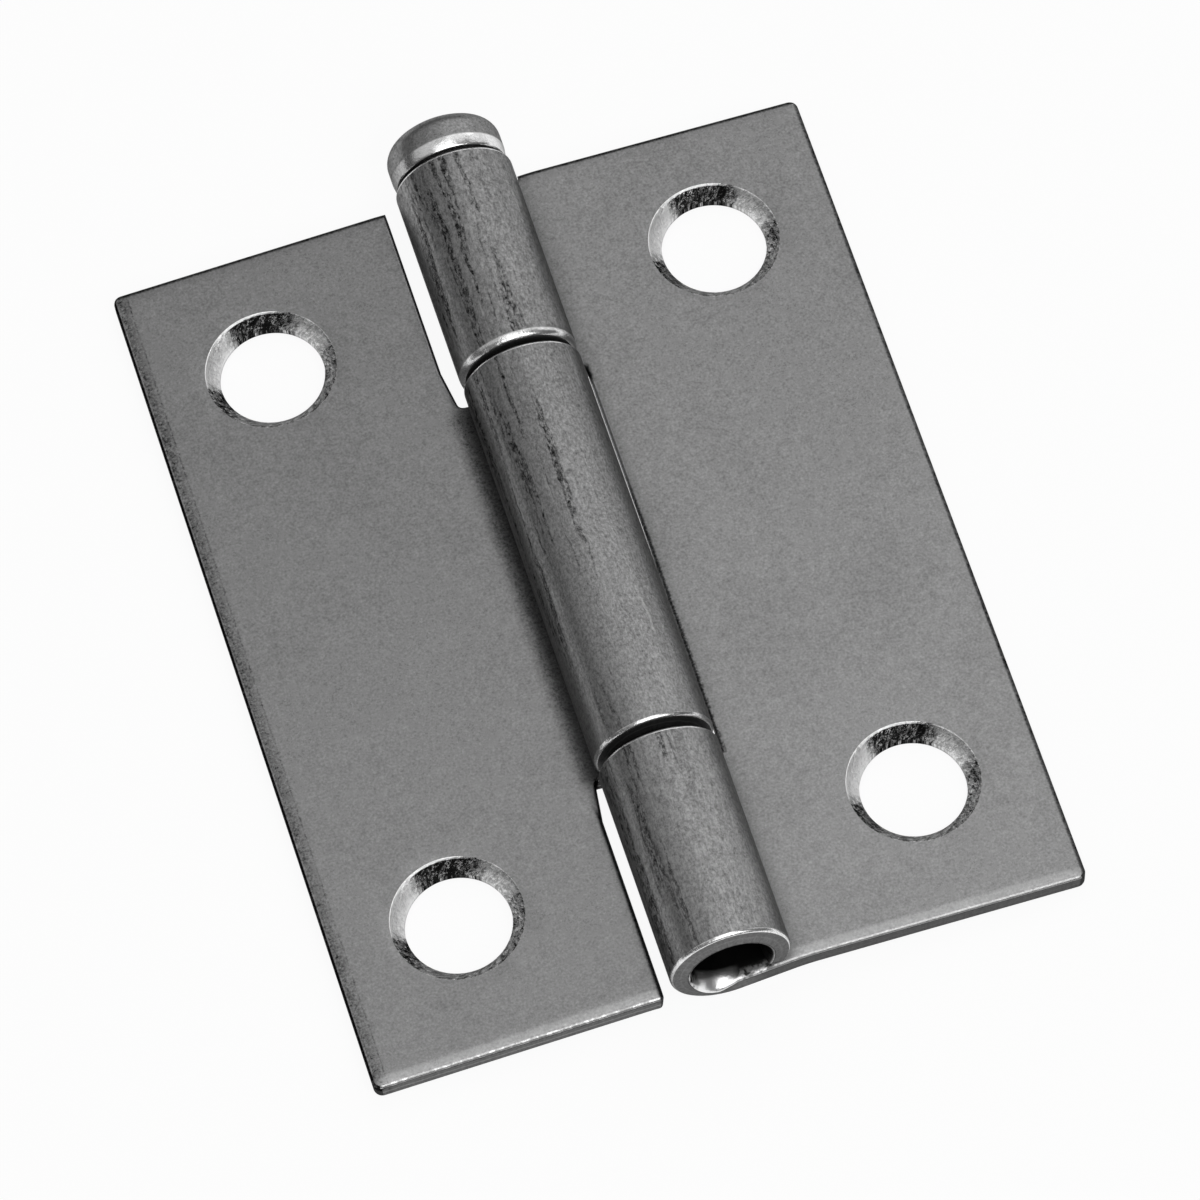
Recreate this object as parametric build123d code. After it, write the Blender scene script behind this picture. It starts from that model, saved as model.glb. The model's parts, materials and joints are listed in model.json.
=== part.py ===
from build123d import *
import math
import os

# A narrow butt hinge, lying open and countersunk face up, as it comes to rest on a table.
# Each leaf is one steel sheet whose tongues are rolled into knuckles round a headed pin.
# X runs across the leaves, Y along the pin towards its head, and Z is up. Millimetres and degrees.

# Leaf blank
leaf_length = 50.8
open_width = 39.7
sheet = 1.2
corner_radius = 0.5
front_bevel = 0.2
back_bevel = 0.2

# Pin and knuckles
pin_diameter = 4.2
pin_clearance = 0.05
middle_knuckle_length = 24.2
middle_knuckle_shift = 0.18
knuckle_gap = 0.58
end_swell = 0.22
face_below_axis = 1.45
joggle_angle = 10.0
joggle_bend = 8.0
seam_gap = 0.08

# Notches that clear the other leaf's knuckles
head_notch_gap = 0.75
open_notch_gap = 0.5
middle_notch_gap = 0.4
notch_taper = 0.3
notch_taper_length = 2.4

# Countersunk screw holes, two in each leaf
hole_diameter = 5.8
countersink_diameter = 7.2
countersink_angle = 82.0
hole_from_axis = 12.8
hole_spacing = 35.3
hole_shift = 0.4

# Pin head and tip
head_diameter = 6.5
head_height = 2.6
head_round = 0.9
head_crown = 0.15
head_undercut = 0.1
head_undercut_height = 0.72
pin_recess = 3.5
tip_chamfer = 0.5

# Sizes that follow from the ones above
bore_radius = pin_diameter / 2 + pin_clearance
knuckle_radius = bore_radius + sheet
half_length = leaf_length / 2
leaf_reach = open_width / 2
back_below_axis = face_below_axis + sheet
barrel_middle = (head_height - end_swell) / 2
past_everything = leaf_length + open_width
touching = 0.001


def droop_angle():
    """How far each leaf leans down from the pin, so that its outer edge and the barrel touch the table."""
    foot_out = leaf_reach - back_bevel
    arm = math.hypot(foot_out, back_below_axis)
    to_table = math.asin(knuckle_radius / arm)
    return math.degrees(to_table - math.atan2(back_below_axis, foot_out))


def lip_angle():
    """How far below the pin's level the roll ends, where its lip comes down on its own sheet."""
    reach = (bore_radius - seam_gap) / knuckle_radius
    return math.degrees(math.asin(reach)) - joggle_angle


def ramp_length():
    """The straight run of the joggle, between the roll and the bend that levels the leaf out."""
    middle_radius = bore_radius + sheet / 2
    slope = math.radians(joggle_angle)
    rise = middle_radius * math.cos(slope) - face_below_axis - sheet / 2
    return (rise - joggle_bend * (1 - math.cos(slope))) / math.sin(slope)


def sheet_side(roll_radius, bend_radius):
    """One side of the sheet seen along the pin: lip, roll, joggle and the bend into the flat leaf."""
    slope = math.radians(joggle_angle)
    lip = math.radians(lip_angle())
    along = Vector(math.cos(slope), math.sin(slope))
    across = Vector(math.sin(slope), -math.cos(slope))
    lip_end = Vector(math.cos(lip), -math.sin(lip)) * roll_radius
    roll_top = Vector(-math.sin(lip / 2), math.cos(lip / 2)) * roll_radius
    roll_end = across * roll_radius
    ramp_end = roll_end + along * ramp_length()
    bend_centre = ramp_end + across * bend_radius
    bend_end = bend_centre + Vector(0, bend_radius)
    bend_middle = bend_centre + Vector(-math.sin(slope / 2), math.cos(slope / 2)) * bend_radius
    roll = ThreePointArc(lip_end, roll_top, roll_end)
    ramp = Line(roll_end, ramp_end)
    bend = ThreePointArc(ramp_end, bend_middle, bend_end)
    flat = Line(bend_end, Vector(leaf_reach, bend_end.Y))
    return [roll, ramp, bend, flat]


def sheet_section():
    """The whole rolled sheet as one closed outline, its thickness the same all the way."""
    back = sheet_side(knuckle_radius, joggle_bend - sheet / 2)
    front = sheet_side(bore_radius, joggle_bend + sheet / 2)
    lip = Line(back[0] @ 0, front[0] @ 0)
    outer_edge = Line(back[-1] @ 1, front[-1] @ 1)
    return make_face(back + [outer_edge] + front + [lip])


def rolled_sheet(start=-half_length, end=half_length):
    """The section run along the pin from start to end, with the leaf towards +X."""
    section = Plane.XZ * sheet_section()
    return Pos(0, end, 0) * extrude(section, end - start)


def notch(start, end, gap):
    """The opening cut in the inner edge from start to end along Y, where another knuckle runs."""
    edge = knuckle_radius + gap
    outline = Rectangle(past_everything, abs(end - start), align=(Align.MAX, Align.CENTER))
    return extrude(Pos(edge, (start + end) / 2) * outline, past_everything, both=True)


def swelled_end(cut, way):
    """The bulge past a knuckle's cut: sheet rolled this tight swells along the pin on its inner side."""
    peak = cut + way * end_swell
    root = cut - way * (front_bevel + back_bevel)
    rim = knuckle_radius - back_bevel
    width = rim - bore_radius
    bulge_radius = (width**2 + end_swell**2) / (2 * end_swell)
    half_turn = math.asin(width / bulge_radius) / 2
    middle = Vector(
        rim - bulge_radius * math.sin(half_turn),
        cut + way * bulge_radius * (1 - math.cos(half_turn)),
    )
    bulge = ThreePointArc((rim, cut), middle, (bore_radius, peak))
    inside = Polyline((bore_radius, peak), (bore_radius, root), (rim, root), (rim, cut))
    to_open_side = (lip_angle() + 90 - joggle_angle) / 2
    ring = Rot(0, to_open_side, 0) * revolve(make_face([bulge, inside]), Axis.Y)
    return ring & rolled_sheet(min(peak, root), max(peak, root))


def tongue_root(start, gap, way):
    """The wedge of sheet left in a notch's corner, where the tongue widens into the leaf."""
    edge = knuckle_radius + gap
    taper_end = start + way * notch_taper_length
    outline = Polyline((edge, start), (edge - notch_taper, start), (edge, taper_end), close=True)
    return extrude(make_face(outline), past_everything, both=True)


def screw_hole(along_pin):
    """A through hole and its countersink, as one turned tool with its axis square to the leaf."""
    hole_radius = hole_diameter / 2
    rim_radius = countersink_diameter / 2
    slope = math.tan(math.radians(countersink_angle / 2))
    depth = (rim_radius - hole_radius) / slope
    above = rim_radius + sheet * slope
    outline = Polyline(
        (0, -2 * sheet),
        (hole_radius, -2 * sheet),
        (hole_radius, -depth),
        (above, sheet),
        (0, sheet),
        close=True,
    )
    tool = revolve(Plane.XZ * make_face(outline), Axis.Z)
    return Pos(hole_from_axis, along_pin, -face_below_axis) * tool


def screw_holes():
    """Both holes of a leaf, a little nearer the pin's head than the leaf's middle."""
    half = hole_spacing / 2
    return screw_hole(hole_shift + half) + screw_hole(hole_shift - half)


def outer_edge_lines(leaf, level):
    """The long straight edge of the leaf furthest from the pin, on its front or its back."""
    lines = leaf.edges().filter_by(Axis.Y)
    lines = lines.filter_by(lambda edge: abs(edge.center().Z - level) < touching)
    return lines.group_by(Axis.X)[-1]


def knuckle_rims(leaf, radius):
    """The round edges at the knuckles' ends, on the barrel's outside or in its bore."""
    arcs = leaf.edges().filter_by(GeomType.CIRCLE)
    return arcs.filter_by(lambda edge: abs(edge.radius - radius) < touching)


def break_edges(leaf):
    """Rounds the corners in plan and bevels the sheared edges, on into the rolled knuckles."""
    corners = leaf.edges().filter_by(Axis.Z).group_by(Axis.X)[-1]
    leaf = fillet(corners, corner_radius)
    front = outer_edge_lines(leaf, -face_below_axis) + knuckle_rims(leaf, bore_radius)
    leaf = chamfer(front, front_bevel)
    back = outer_edge_lines(leaf, -back_below_axis) + knuckle_rims(leaf, knuckle_radius)
    return chamfer(back, back_bevel)


def make_end_knuckle_leaf():
    """The leaf with a knuckle at each end of the barrel, the upper one set back to seat the pin's head."""
    notch_half = middle_knuckle_length / 2 + knuckle_gap
    notch_open_end = middle_knuckle_shift - notch_half
    notch_head_end = middle_knuckle_shift + notch_half
    middle_notch = notch(notch_open_end, notch_head_end, middle_notch_gap)
    head_seat = half_length - end_swell
    leaf = rolled_sheet() - middle_notch - notch(head_seat, past_everything, middle_notch_gap)
    leaf = break_edges(leaf) - screw_holes()
    for cut, way in ((-half_length, -1), (notch_open_end, 1), (notch_head_end, -1), (head_seat, 1)):
        leaf += swelled_end(cut, way)
    return leaf


def make_middle_knuckle_leaf():
    """The leaf with the middle knuckle and a notch at each end, still to be mirrored to the other side."""
    tongue_head_end = middle_knuckle_shift + middle_knuckle_length / 2
    tongue_open_end = middle_knuckle_shift - middle_knuckle_length / 2
    head_notch = notch(tongue_head_end, past_everything, head_notch_gap)
    head_notch -= tongue_root(tongue_head_end, head_notch_gap, 1)
    open_notch = notch(tongue_open_end, -past_everything, open_notch_gap)
    open_notch -= tongue_root(tongue_open_end, open_notch_gap, -1)
    leaf = break_edges(rolled_sheet() - head_notch - open_notch) - screw_holes()
    return leaf + swelled_end(tongue_head_end, 1) + swelled_end(tongue_open_end, -1)


def make_hinge_pin():
    """The headed pin, turned about Y: chamfered tip, plain shank and crowned head, slightly undercut."""
    shank = pin_diameter / 2
    rim = head_diameter / 2
    tip = pin_recess - half_length
    round_start = half_length + head_height - head_crown - head_round
    round_end = round_start + head_round
    flat = rim - head_round
    bow = math.sqrt(0.5) * head_round
    crown_radius = (flat**2 + head_crown**2) / (2 * head_crown)
    crown_half = round_end + head_crown - crown_radius
    crown_half += math.sqrt(crown_radius**2 - (flat / 2) ** 2)
    shank_line = Polyline(
        (0, tip),
        (shank - tip_chamfer, tip),
        (shank, tip + tip_chamfer),
        (shank, half_length),
        (rim - head_undercut, half_length),
        (rim, half_length + head_undercut_height),
        (rim, round_start),
    )
    corner = ThreePointArc((rim, round_start), (flat + bow, round_start + bow), (flat, round_end))
    crown = ThreePointArc((flat, round_end), (flat / 2, crown_half), (0, round_end + head_crown))
    axis_line = Line((0, round_end + head_crown), (0, tip))
    return revolve(make_face([shank_line, corner, crown, axis_line]), Axis.Y)


def on_the_table(piece, lean=0.0):
    """Leans a piece about the pin, then sets the barrel on the table with the hinge's length centred."""
    return Pos(0, -barrel_middle, knuckle_radius) * Rot(0, lean, 0) * piece


droop = droop_angle()
pieces = {
    "middle_knuckle_leaf": on_the_table(mirror(make_middle_knuckle_leaf(), Plane.YZ), -droop),
    "end_knuckle_leaf": on_the_table(make_end_knuckle_leaf(), droop),
    "hinge_pin": on_the_table(make_hinge_pin()),
}

os.makedirs("parts", exist_ok=True)
for name, piece in pieces.items():
    export_step(piece, f"parts/{name}.step")
    size = piece.bounding_box().size
    print(name, round(piece.volume, 1), "mm3", round(size.X, 2), round(size.Y, 2), round(size.Z, 2))
print("leaves lean", round(droop, 3), "degrees; pin axis", round(knuckle_radius, 3), "mm above the table")
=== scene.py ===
# %% [markdown]
# # A narrow steel hinge
# The hinge has two leaves of sheet steel, whose tongues are rolled into knuckles, and a headed pin
# that runs through the knuckles. The lesson makes each leaf as a press shop does: cut a flat blank,
# round its edges, sink the screw holes, and only then roll the tongues. The pin is turned from its
# outline. The frame comes first, because it holds the real sizes and places.

# %% The frame and its box
import json
import math

import bmesh
import bpy
from mathutils import Matrix, Vector


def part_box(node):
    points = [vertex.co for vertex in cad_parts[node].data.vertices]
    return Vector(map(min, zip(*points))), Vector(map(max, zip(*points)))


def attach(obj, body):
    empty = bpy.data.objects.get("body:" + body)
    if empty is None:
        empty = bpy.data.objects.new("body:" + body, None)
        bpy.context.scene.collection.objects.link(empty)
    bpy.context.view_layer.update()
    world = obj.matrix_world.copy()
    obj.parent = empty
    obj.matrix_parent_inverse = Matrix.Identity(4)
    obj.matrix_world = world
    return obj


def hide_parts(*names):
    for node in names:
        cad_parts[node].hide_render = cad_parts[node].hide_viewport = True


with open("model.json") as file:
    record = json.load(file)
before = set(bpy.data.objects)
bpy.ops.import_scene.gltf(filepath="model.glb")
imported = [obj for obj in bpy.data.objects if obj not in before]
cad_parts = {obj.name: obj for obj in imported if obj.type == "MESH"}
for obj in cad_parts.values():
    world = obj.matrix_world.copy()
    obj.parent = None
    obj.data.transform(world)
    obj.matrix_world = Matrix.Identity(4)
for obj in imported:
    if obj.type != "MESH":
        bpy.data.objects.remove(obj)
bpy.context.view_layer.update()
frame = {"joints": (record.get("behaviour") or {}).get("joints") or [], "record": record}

# %% [markdown]
# ## Sizes
# The meshes are drawn in millimetres, because a bevel of 0.2 is easier to read than one of 0.0002.
# The last step of each piece scales it to metres. Sizes that the frame states are read from it: the
# pin's height over the table, the screw holes and the leaves' length. The rest are the real sizes of
# the sheet and its folds, written once here. `hair` is the little by which the meshes stay inside the
# frame's box.

# %% Sizes read from the frame
mm = 0.001
hinge_joint = next(joint for joint in frame["joints"] if joint["name"] == "leaf_hinge")
hole_mount = next(mount for mount in frame["record"]["mounts"] if mount["name"] == "end_leaf_screw_holes")
leaf_low, leaf_high = (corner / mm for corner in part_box("middle_knuckle_leaf"))
end_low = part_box("end_knuckle_leaf")[0] / mm
pin_low, pin_high = (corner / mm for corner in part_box("hinge_pin"))
hair = 0.002

axis_height = hinge_joint["pos_m"][2] / mm
knuckle_radius = leaf_high.z - axis_height - hair
leaf_length = leaf_high.y - leaf_low.y
leaf_middle = (leaf_high.y + leaf_low.y) / 2
end_swell = leaf_low.y - end_low.y
hole_spacing = hole_mount["dims"]["pcd_mm"]
hole_radius = hole_mount["dims"]["hole_r_mm"]
holes_middle = hole_mount["pos_m"][1] / mm - leaf_middle
head_radius = pin_high.x - hair
print("leaf", round(leaf_length, 2), "mm long, pin axis", axis_height, "mm up")
print("barrel", round(2 * knuckle_radius, 2), "mm across, pin head", round(2 * head_radius, 2), "mm")
print("knuckle ends stand out by", round(end_swell, 2), "mm")

# %% Sizes of the sheet and its folds
sheet = 1.2
leaf_reach = 19.85 - hair
face_below_axis = 1.45
joggle_angle = math.radians(10)
joggle_bend = 8.0
seam_gap = 0.08
front_round = 0.2
back_round = 0.22

bore_radius = knuckle_radius - sheet
roll_radius = bore_radius + sheet / 2
half_length = leaf_length / 2 - hair
half_sheet = sheet / 2
print("sheet", sheet, "mm, bore", round(2 * bore_radius, 2), "mm across")

# %% [markdown]
# ## The camera
# The photograph looks down on the hinge through a long lens, so lines that run away from the camera
# hardly meet. The camera is placed from what a photographer would note: the point it looks at, its
# distance, how high and how far round it stands, and how much it is tilted.

# %% Camera
aim = Vector((-0.105, -3.614, 3.35)) * mm
camera_distance = 509.3 * mm
camera_height_angle = math.radians(61.776)
camera_round_angle = math.radians(12.306)
camera_tilt = math.radians(-5.6)
lens_over_frame = 9476.7 / 1200


def add_object(name, data):
    """A new object in the scene."""
    made = bpy.data.objects.new(name, data)
    bpy.context.scene.collection.objects.link(made)
    return made


toward_camera = Vector((
    -math.cos(camera_height_angle) * math.sin(camera_round_angle),
    -math.cos(camera_height_angle) * math.cos(camera_round_angle),
    math.sin(camera_height_angle),
))
camera_data = bpy.data.cameras.new("photo_camera")
camera_data.sensor_width = 36
camera_data.lens = camera_data.sensor_width * lens_over_frame
camera_data.clip_start = 0.01
camera = add_object("photo_camera", camera_data)
level_view = (-toward_camera).to_track_quat("-Z", "Y").to_matrix().to_4x4()
stand = Matrix.Translation(aim + toward_camera * camera_distance)
camera.matrix_world = stand @ level_view @ Matrix.Rotation(camera_tilt, 4, "Z")
bpy.context.scene.camera = camera
camera_place = [round(c, 3) for c in camera.matrix_world.translation]
print("camera lens", round(camera_data.lens, 1), "mm at", camera_place)

# %% [markdown]
# ## Helpers for materials
# Every finish below is a small network of nodes, and most of it is plain sums. A `Value` stands for one
# output in it, and a sum written with it adds the Math node that works it out.

# %% Values and nodes
class Value:
    """A node's output. Each sum with it adds a Math node to its network."""

    def __init__(self, socket):
        self.socket = socket
        self.tree = socket.id_data

    def __add__(self, other):
        return calculate("ADD", self, other)

    def __radd__(self, other):
        return self if other == 0 else self + other

    def __sub__(self, other):
        return calculate("SUBTRACT", self, other)

    def __rsub__(self, other):
        return calculate("SUBTRACT", other, self)

    def __mul__(self, other):
        return calculate("MULTIPLY", self, other)

    def __abs__(self):
        return calculate("ABSOLUTE", self)


def outputs_of(node):
    """A node's outputs by name. Where several share a name, the first one counts."""
    values = {}
    for socket in node.outputs:
        values.setdefault(socket.name, Value(socket))
    return values


def add_node(tree, kind, sockets=None, **options):
    """Adds a node, sets its options, fills its sockets with numbers or links, and gives its outputs."""
    node = tree.nodes.new(kind)
    for name, value in options.items():
        setattr(node, name, value)
    for name, value in (sockets or {}).items():
        if isinstance(value, Value):
            tree.links.new(value.socket, node.inputs[name])
        else:
            node.inputs[name].default_value = value
    return outputs_of(node)


def calculate(operation, first, second=0.0):
    """One sum on two numbers, at least one of them a Value."""
    tree = next(value.tree for value in (first, second) if isinstance(value, Value))
    return add_node(tree, "ShaderNodeMath", {0: first, 1: second}, operation=operation)["Value"]


def most(first, *others):
    """The largest of several values."""
    for other in others:
        first = calculate("MAXIMUM", first, other)
    return first


def fade(value, start, end, low=0.0, high=1.0):
    """A smooth change from low to high as a value goes from start to end."""
    sockets = {"Value": value, "From Min": start, "From Max": end, "To Min": low, "To Max": high}
    return add_node(value.tree, "ShaderNodeMapRange", sockets, interpolation_type="SMOOTHSTEP")["Result"]


def between(value, start, full, still_full, end):
    """A window: nought before start, one from full to still_full, and nought again after end."""
    return fade(value, start, full) * fade(value, end, still_full)


def mesh_from(bm, name):
    """A mesh with what was built in the bmesh, which is then done with."""
    mesh = bpy.data.meshes.new(name)
    bm.to_mesh(mesh)
    bm.free()
    return mesh


def new_material(name):
    """A material with an empty network."""
    material = bpy.data.materials.new(name)
    material.use_nodes = True
    material.node_tree.nodes.clear()
    return material


print("a sum is one node and a window three")

# %% [markdown]
# ## Floor and light
# Metal shows what stands around it, so its shades come from large panels. The four behind and beside
# the hinge are what the flat faces and the barrel's right side mirror to the camera. The overhead one
# lights the barrel's crown, and only rims that face the camera catch the front one. The room is dim
# near the ground, and that draws the dark side of the barrel. The table glows for the camera and for
# mirrored rays, so that it looks white and still shows a shadow.

# %% Floor
white = (1, 1, 1, 1)
paper_white = (0.93, 0.93, 0.93, 1)
glow_share = 0.92
floor_half_width = 3


def pale_floor():
    """A wide pale table top."""
    bm = bmesh.new()
    bmesh.ops.create_grid(bm, x_segments=1, y_segments=1, size=floor_half_width)
    mesh = mesh_from(bm, "floor")
    material = new_material("pale_table")
    tree = material.node_tree
    paper = add_node(tree, "ShaderNodeBsdfDiffuse", {"Color": paper_white})["BSDF"]
    glow = add_node(tree, "ShaderNodeEmission", {"Color": white, "Strength": 1.0})["Emission"]
    path = add_node(tree, "ShaderNodeLightPath")
    seen = most(path["Is Camera Ray"], path["Is Glossy Ray"], path["Is Transmission Ray"])
    mixed = add_node(tree, "ShaderNodeMixShader", {0: seen * glow_share, 1: paper, 2: glow})["Shader"]
    add_node(tree, "ShaderNodeOutputMaterial", {"Surface": mixed})
    mesh.materials.append(material)
    floor = add_object("floor", mesh)
    return floor


floor = pale_floor()
print("floor", floor.dimensions[:2])

# %% Lamps
panel_distance = 0.9
panel_size = 0.66


def panel_light(name, round_angle, height_angle, width, depth, radiance):
    """A soft panel that faces the hinge. Its power follows from how bright its face is to look at."""
    data = bpy.data.lights.new(name, "AREA")
    data.shape = "RECTANGLE"
    data.size = width
    data.size_y = depth
    data.energy = radiance * math.pi * width * depth
    round_angle, height_angle = math.radians(round_angle), math.radians(height_angle)
    flat = math.cos(height_angle)
    toward = Vector((flat * math.sin(round_angle), -flat * math.cos(round_angle), math.sin(height_angle)))
    facing = toward.to_track_quat("Z", "Y").to_matrix().to_4x4()
    lamp = add_object(name, data)
    lamp.matrix_world = Matrix.Translation(toward * panel_distance) @ facing
    return lamp


lamps = [
    panel_light("back_panel", 180, 50, panel_size, panel_size, 0.37),
    panel_light("back_right_panel", 140, 45, panel_size, panel_size, 0.66),
    panel_light("low_right_panel", 120, 20, panel_size, panel_size, 0.7),
    panel_light("back_left_panel", -120, 45, panel_size, panel_size, 0.32),
    panel_light("overhead_panel", 10, 80, panel_size, 0.8, 1.3),
    panel_light("front_panel", 12, 48, 0.8, 0.5, 2.2),
]
print("lamps", [(lamp.name, round(lamp.data.energy, 2)) for lamp in lamps])

# %% The room
horizon_light = 0.08
overhead_light = 0.2


def dim_room():
    """A world that is dim at the horizon and paler overhead."""
    world = bpy.data.worlds.new("room")
    bpy.context.scene.world = world
    world.use_nodes = True
    tree = world.node_tree
    tree.nodes.clear()
    direction = add_node(tree, "ShaderNodeTexCoord")["Generated"]
    height = add_node(tree, "ShaderNodeSeparateXYZ", {0: direction})["Z"]
    strength = fade(height, 0.0, 0.9, horizon_light, overhead_light)
    room = add_node(tree, "ShaderNodeBackground", {"Color": white, "Strength": strength})["Background"]
    add_node(tree, "ShaderNodeOutputWorld", {"Surface": room})
    return world


room = dim_room()
bpy.context.scene.view_settings.view_transform = "Standard"
print("room", room.name)

# %% [markdown]
# ## How a flat blank becomes a leaf
# The sheet keeps its thickness as it is bent and rolled, so every point of the flat blank has one
# place on the finished leaf. So the blank is made flat, where cuts, holes and edges are easy, and each
# point is sent to its place at the end. From the outer edge inward the blank has four stretches: the
# flat leaf, the bend, the straight ramp of the joggle, and the roll round the pin.

# %% The four stretches of the sheet
leaf_level = -face_below_axis - half_sheet
rise = roll_radius * math.cos(joggle_angle) + leaf_level
ramp_length = (rise - joggle_bend * (1 - math.cos(joggle_angle))) / math.sin(joggle_angle)
ramp_end_out = roll_radius * math.sin(joggle_angle) + ramp_length * math.cos(joggle_angle)
ramp_end_level = leaf_level - joggle_bend * (1 - math.cos(joggle_angle))
bend_end_out = ramp_end_out + joggle_bend * math.sin(joggle_angle)
start_angle = joggle_angle - math.pi / 2
lip_angle = math.asin((bore_radius - seam_gap) / knuckle_radius) - joggle_angle
roll_turn = 2 * math.pi + lip_angle + start_angle

flat_length = leaf_reach - bend_end_out
bend_length = joggle_bend * joggle_angle
roll_begin = flat_length + bend_length + ramp_length
roll_length = roll_radius * roll_turn
blank_length = roll_begin + roll_length
print("blank", round(blank_length, 2), "mm from outer edge to lip")
print("rolled through", round(math.degrees(roll_turn)), "degrees")


# %% Bending a point of the blank
def bent_place(across_blank, above):
    """Where a point before the roll goes: how far out from the pin, and how far above it."""
    left = across_blank - flat_length
    if left <= 0:
        return bend_end_out - left, leaf_level + above
    if left <= bend_length:
        turn = left / joggle_bend
        radius = joggle_bend + above
        return bend_end_out - radius * math.sin(turn), leaf_level - joggle_bend + radius * math.cos(turn)
    left -= bend_length
    out = ramp_end_out - left * math.cos(joggle_angle) - above * math.sin(joggle_angle)
    return out, ramp_end_level - left * math.sin(joggle_angle) + above * math.cos(joggle_angle)


def distance_on_blank(out):
    """How far across the blank a cut lies that stands this far out from the pin, in the bend."""
    return flat_length + joggle_bend * math.asin((bend_end_out - out) / joggle_bend)


ramp_end = [round(c, 2) for c in bent_place(roll_begin, 0)]
print("the ramp reaches the roll at", ramp_end, "mm from the pin's axis")

# %% [markdown]
# ## Rolled ends
# A sheet that is rolled this tight is squeezed on its inner side and gives way along the pin, so the
# end of a knuckle dishes out towards the bore. The mouth of the bore is also pressed open a little,
# most of all low down. Both are a push on the points within a millimetre of a knuckle's end.

# %% Rolling a point of the blank
swell_reach = 1.0
swell_width = sheet - back_round - front_round / 2
swell_curve = (swell_width**2 + end_swell**2) / (2 * end_swell)
swell_grows = math.radians(25)
mouth_reach = 0.8
press_reach = 0.55
mouth_all_round = 0.04
mouth_at_low_side = 0.42
low_side = math.radians(-112)
mouth_focus = 6
past_the_end = -0.01


def pressed_end(radius, angle, behind, swell, press):
    """How a point this far behind a knuckle's end moves: outward from the pin, and along it."""
    if not past_the_end < behind < swell_reach:
        return 0.0, 0.0
    inward = min(max(knuckle_radius - back_round - radius, 0.0), swell_width)
    dish = swell_curve - math.sqrt(swell_curve**2 - inward**2)
    grown = min((start_angle - angle) / swell_grows, 1.0)
    push = swell * dish * (1 - behind / swell_reach) ** 2 * grown
    low = max(math.cos(angle - low_side), 0.0) ** mouth_focus
    mouth = mouth_all_round + mouth_at_low_side * low
    depth = (knuckle_radius - radius) / sheet
    outward = mouth * grown * max(1 - behind / mouth_reach, 0.0) ** 2 * depth**2
    return outward - press * max(1 - behind / press_reach, 0.0) ** 2 * (1 - depth), push


def rolled_place(across_blank, line, above, ends):
    """Where a point of the tongue goes once it is rolled, and pushed by the knuckle's ends."""
    angle = start_angle - (across_blank - roll_begin) / roll_radius
    radius = roll_radius - above
    outward = pushed = 0.0
    for end, way, swell, press in ends:
        move, push = pressed_end(radius, angle, (end - line) * way, swell, press)
        outward += move
        pushed += way * push
    radius += outward
    return radius * math.cos(angle), line + pushed, radius * math.sin(angle)


end_push = pressed_end(bore_radius + 0.1, -3.0, 0, 1, 0)[1]
print("a knuckle's end stands out", round(end_push, 2), "mm at the bore")

# %% [markdown]
# ## Cutting the blank
# `bisect_plane` cuts straight lines into a rectangle, and the faces in the notches are deleted, which
# leaves the tongues. Each cut is kept to the faces it is meant for, so that the notch lines don't run
# on through the screw holes.

# %% Helpers for cutting
across = Vector((1, 0, 0))
along = Vector((0, 1, 0))
upward = Vector((0, 0, 1))
inner_start = flat_length - 1
same_point = 1e-3


def faces_within(bm, low, high):
    """The faces whose middle lies between two corners, in X and Y."""
    def inside(face):
        middle = face.calc_center_median()
        return low[0] < middle.x < high[0] and low[1] < middle.y < high[1]
    return [face for face in bm.faces if inside(face)]


def inner_faces(bm):
    """The faces of the inner part of the blank, which has the tongues and the notches."""
    return faces_within(bm, (inner_start, -leaf_length), (2 * blank_length, leaf_length))


def cut_faces(bm, faces, axis, at):
    """Cuts the given faces square to an axis and leaves the rest whole."""
    edges = {edge for face in faces for edge in face.edges}
    verts = {vert for face in faces for vert in face.verts}
    geom = [*verts, *edges, *faces]
    bmesh.ops.bisect_plane(bm, geom=geom, dist=1e-5, plane_co=axis * at, plane_no=axis)


print("notches are cut in the inner", round(blank_length - inner_start, 2), "mm of the blank")


# %% A rectangle with notches
def notched_blank(notches):
    """The leaf's flat outline. A notch is (start, end, how far out its edge stands, taper)."""
    bm = bmesh.new()
    bmesh.ops.create_grid(bm, x_segments=1, y_segments=1, size=0.5)
    bmesh.ops.scale(bm, vec=(blank_length, 2 * half_length, 1), verts=bm.verts)
    bmesh.ops.translate(bm, vec=(blank_length / 2, 0, -half_sheet), verts=bm.verts)
    cut_faces(bm, bm.faces[:], across, inner_start)
    for start, end, out, taper in notches:
        for line in (start, end):
            cut_faces(bm, inner_faces(bm), along, line)
        edge = distance_on_blank(out)
        strip = faces_within(bm, (inner_start, start), (blank_length, end))
        cut_faces(bm, strip, across, edge)
        waste = faces_within(bm, (edge, start), (blank_length, end))
        bmesh.ops.delete(bm, geom=waste, context="FACES")
        if taper:
            widen_tongue_root(bm, edge, start, end, taper)
    return bm


def widen_tongue_root(bm, edge, start, end, taper):
    """Leaves a thin wedge of sheet where a tongue leaves the blank."""
    root, far_way = (start, 1) if abs(start) < abs(end) else (end, -1)
    strip = faces_within(bm, (inner_start, start), (edge, end))
    cut_faces(bm, strip, along, root + far_way * taper[1])
    corner = [v for v in bm.verts if (v.co.xy - Vector((edge, root))).length < same_point]
    bmesh.ops.translate(bm, vec=(taper[0], 0, 0), verts=corner)


print("a blank is", round(blank_length, 1), "by", round(2 * half_length, 1), "mm")

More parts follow.
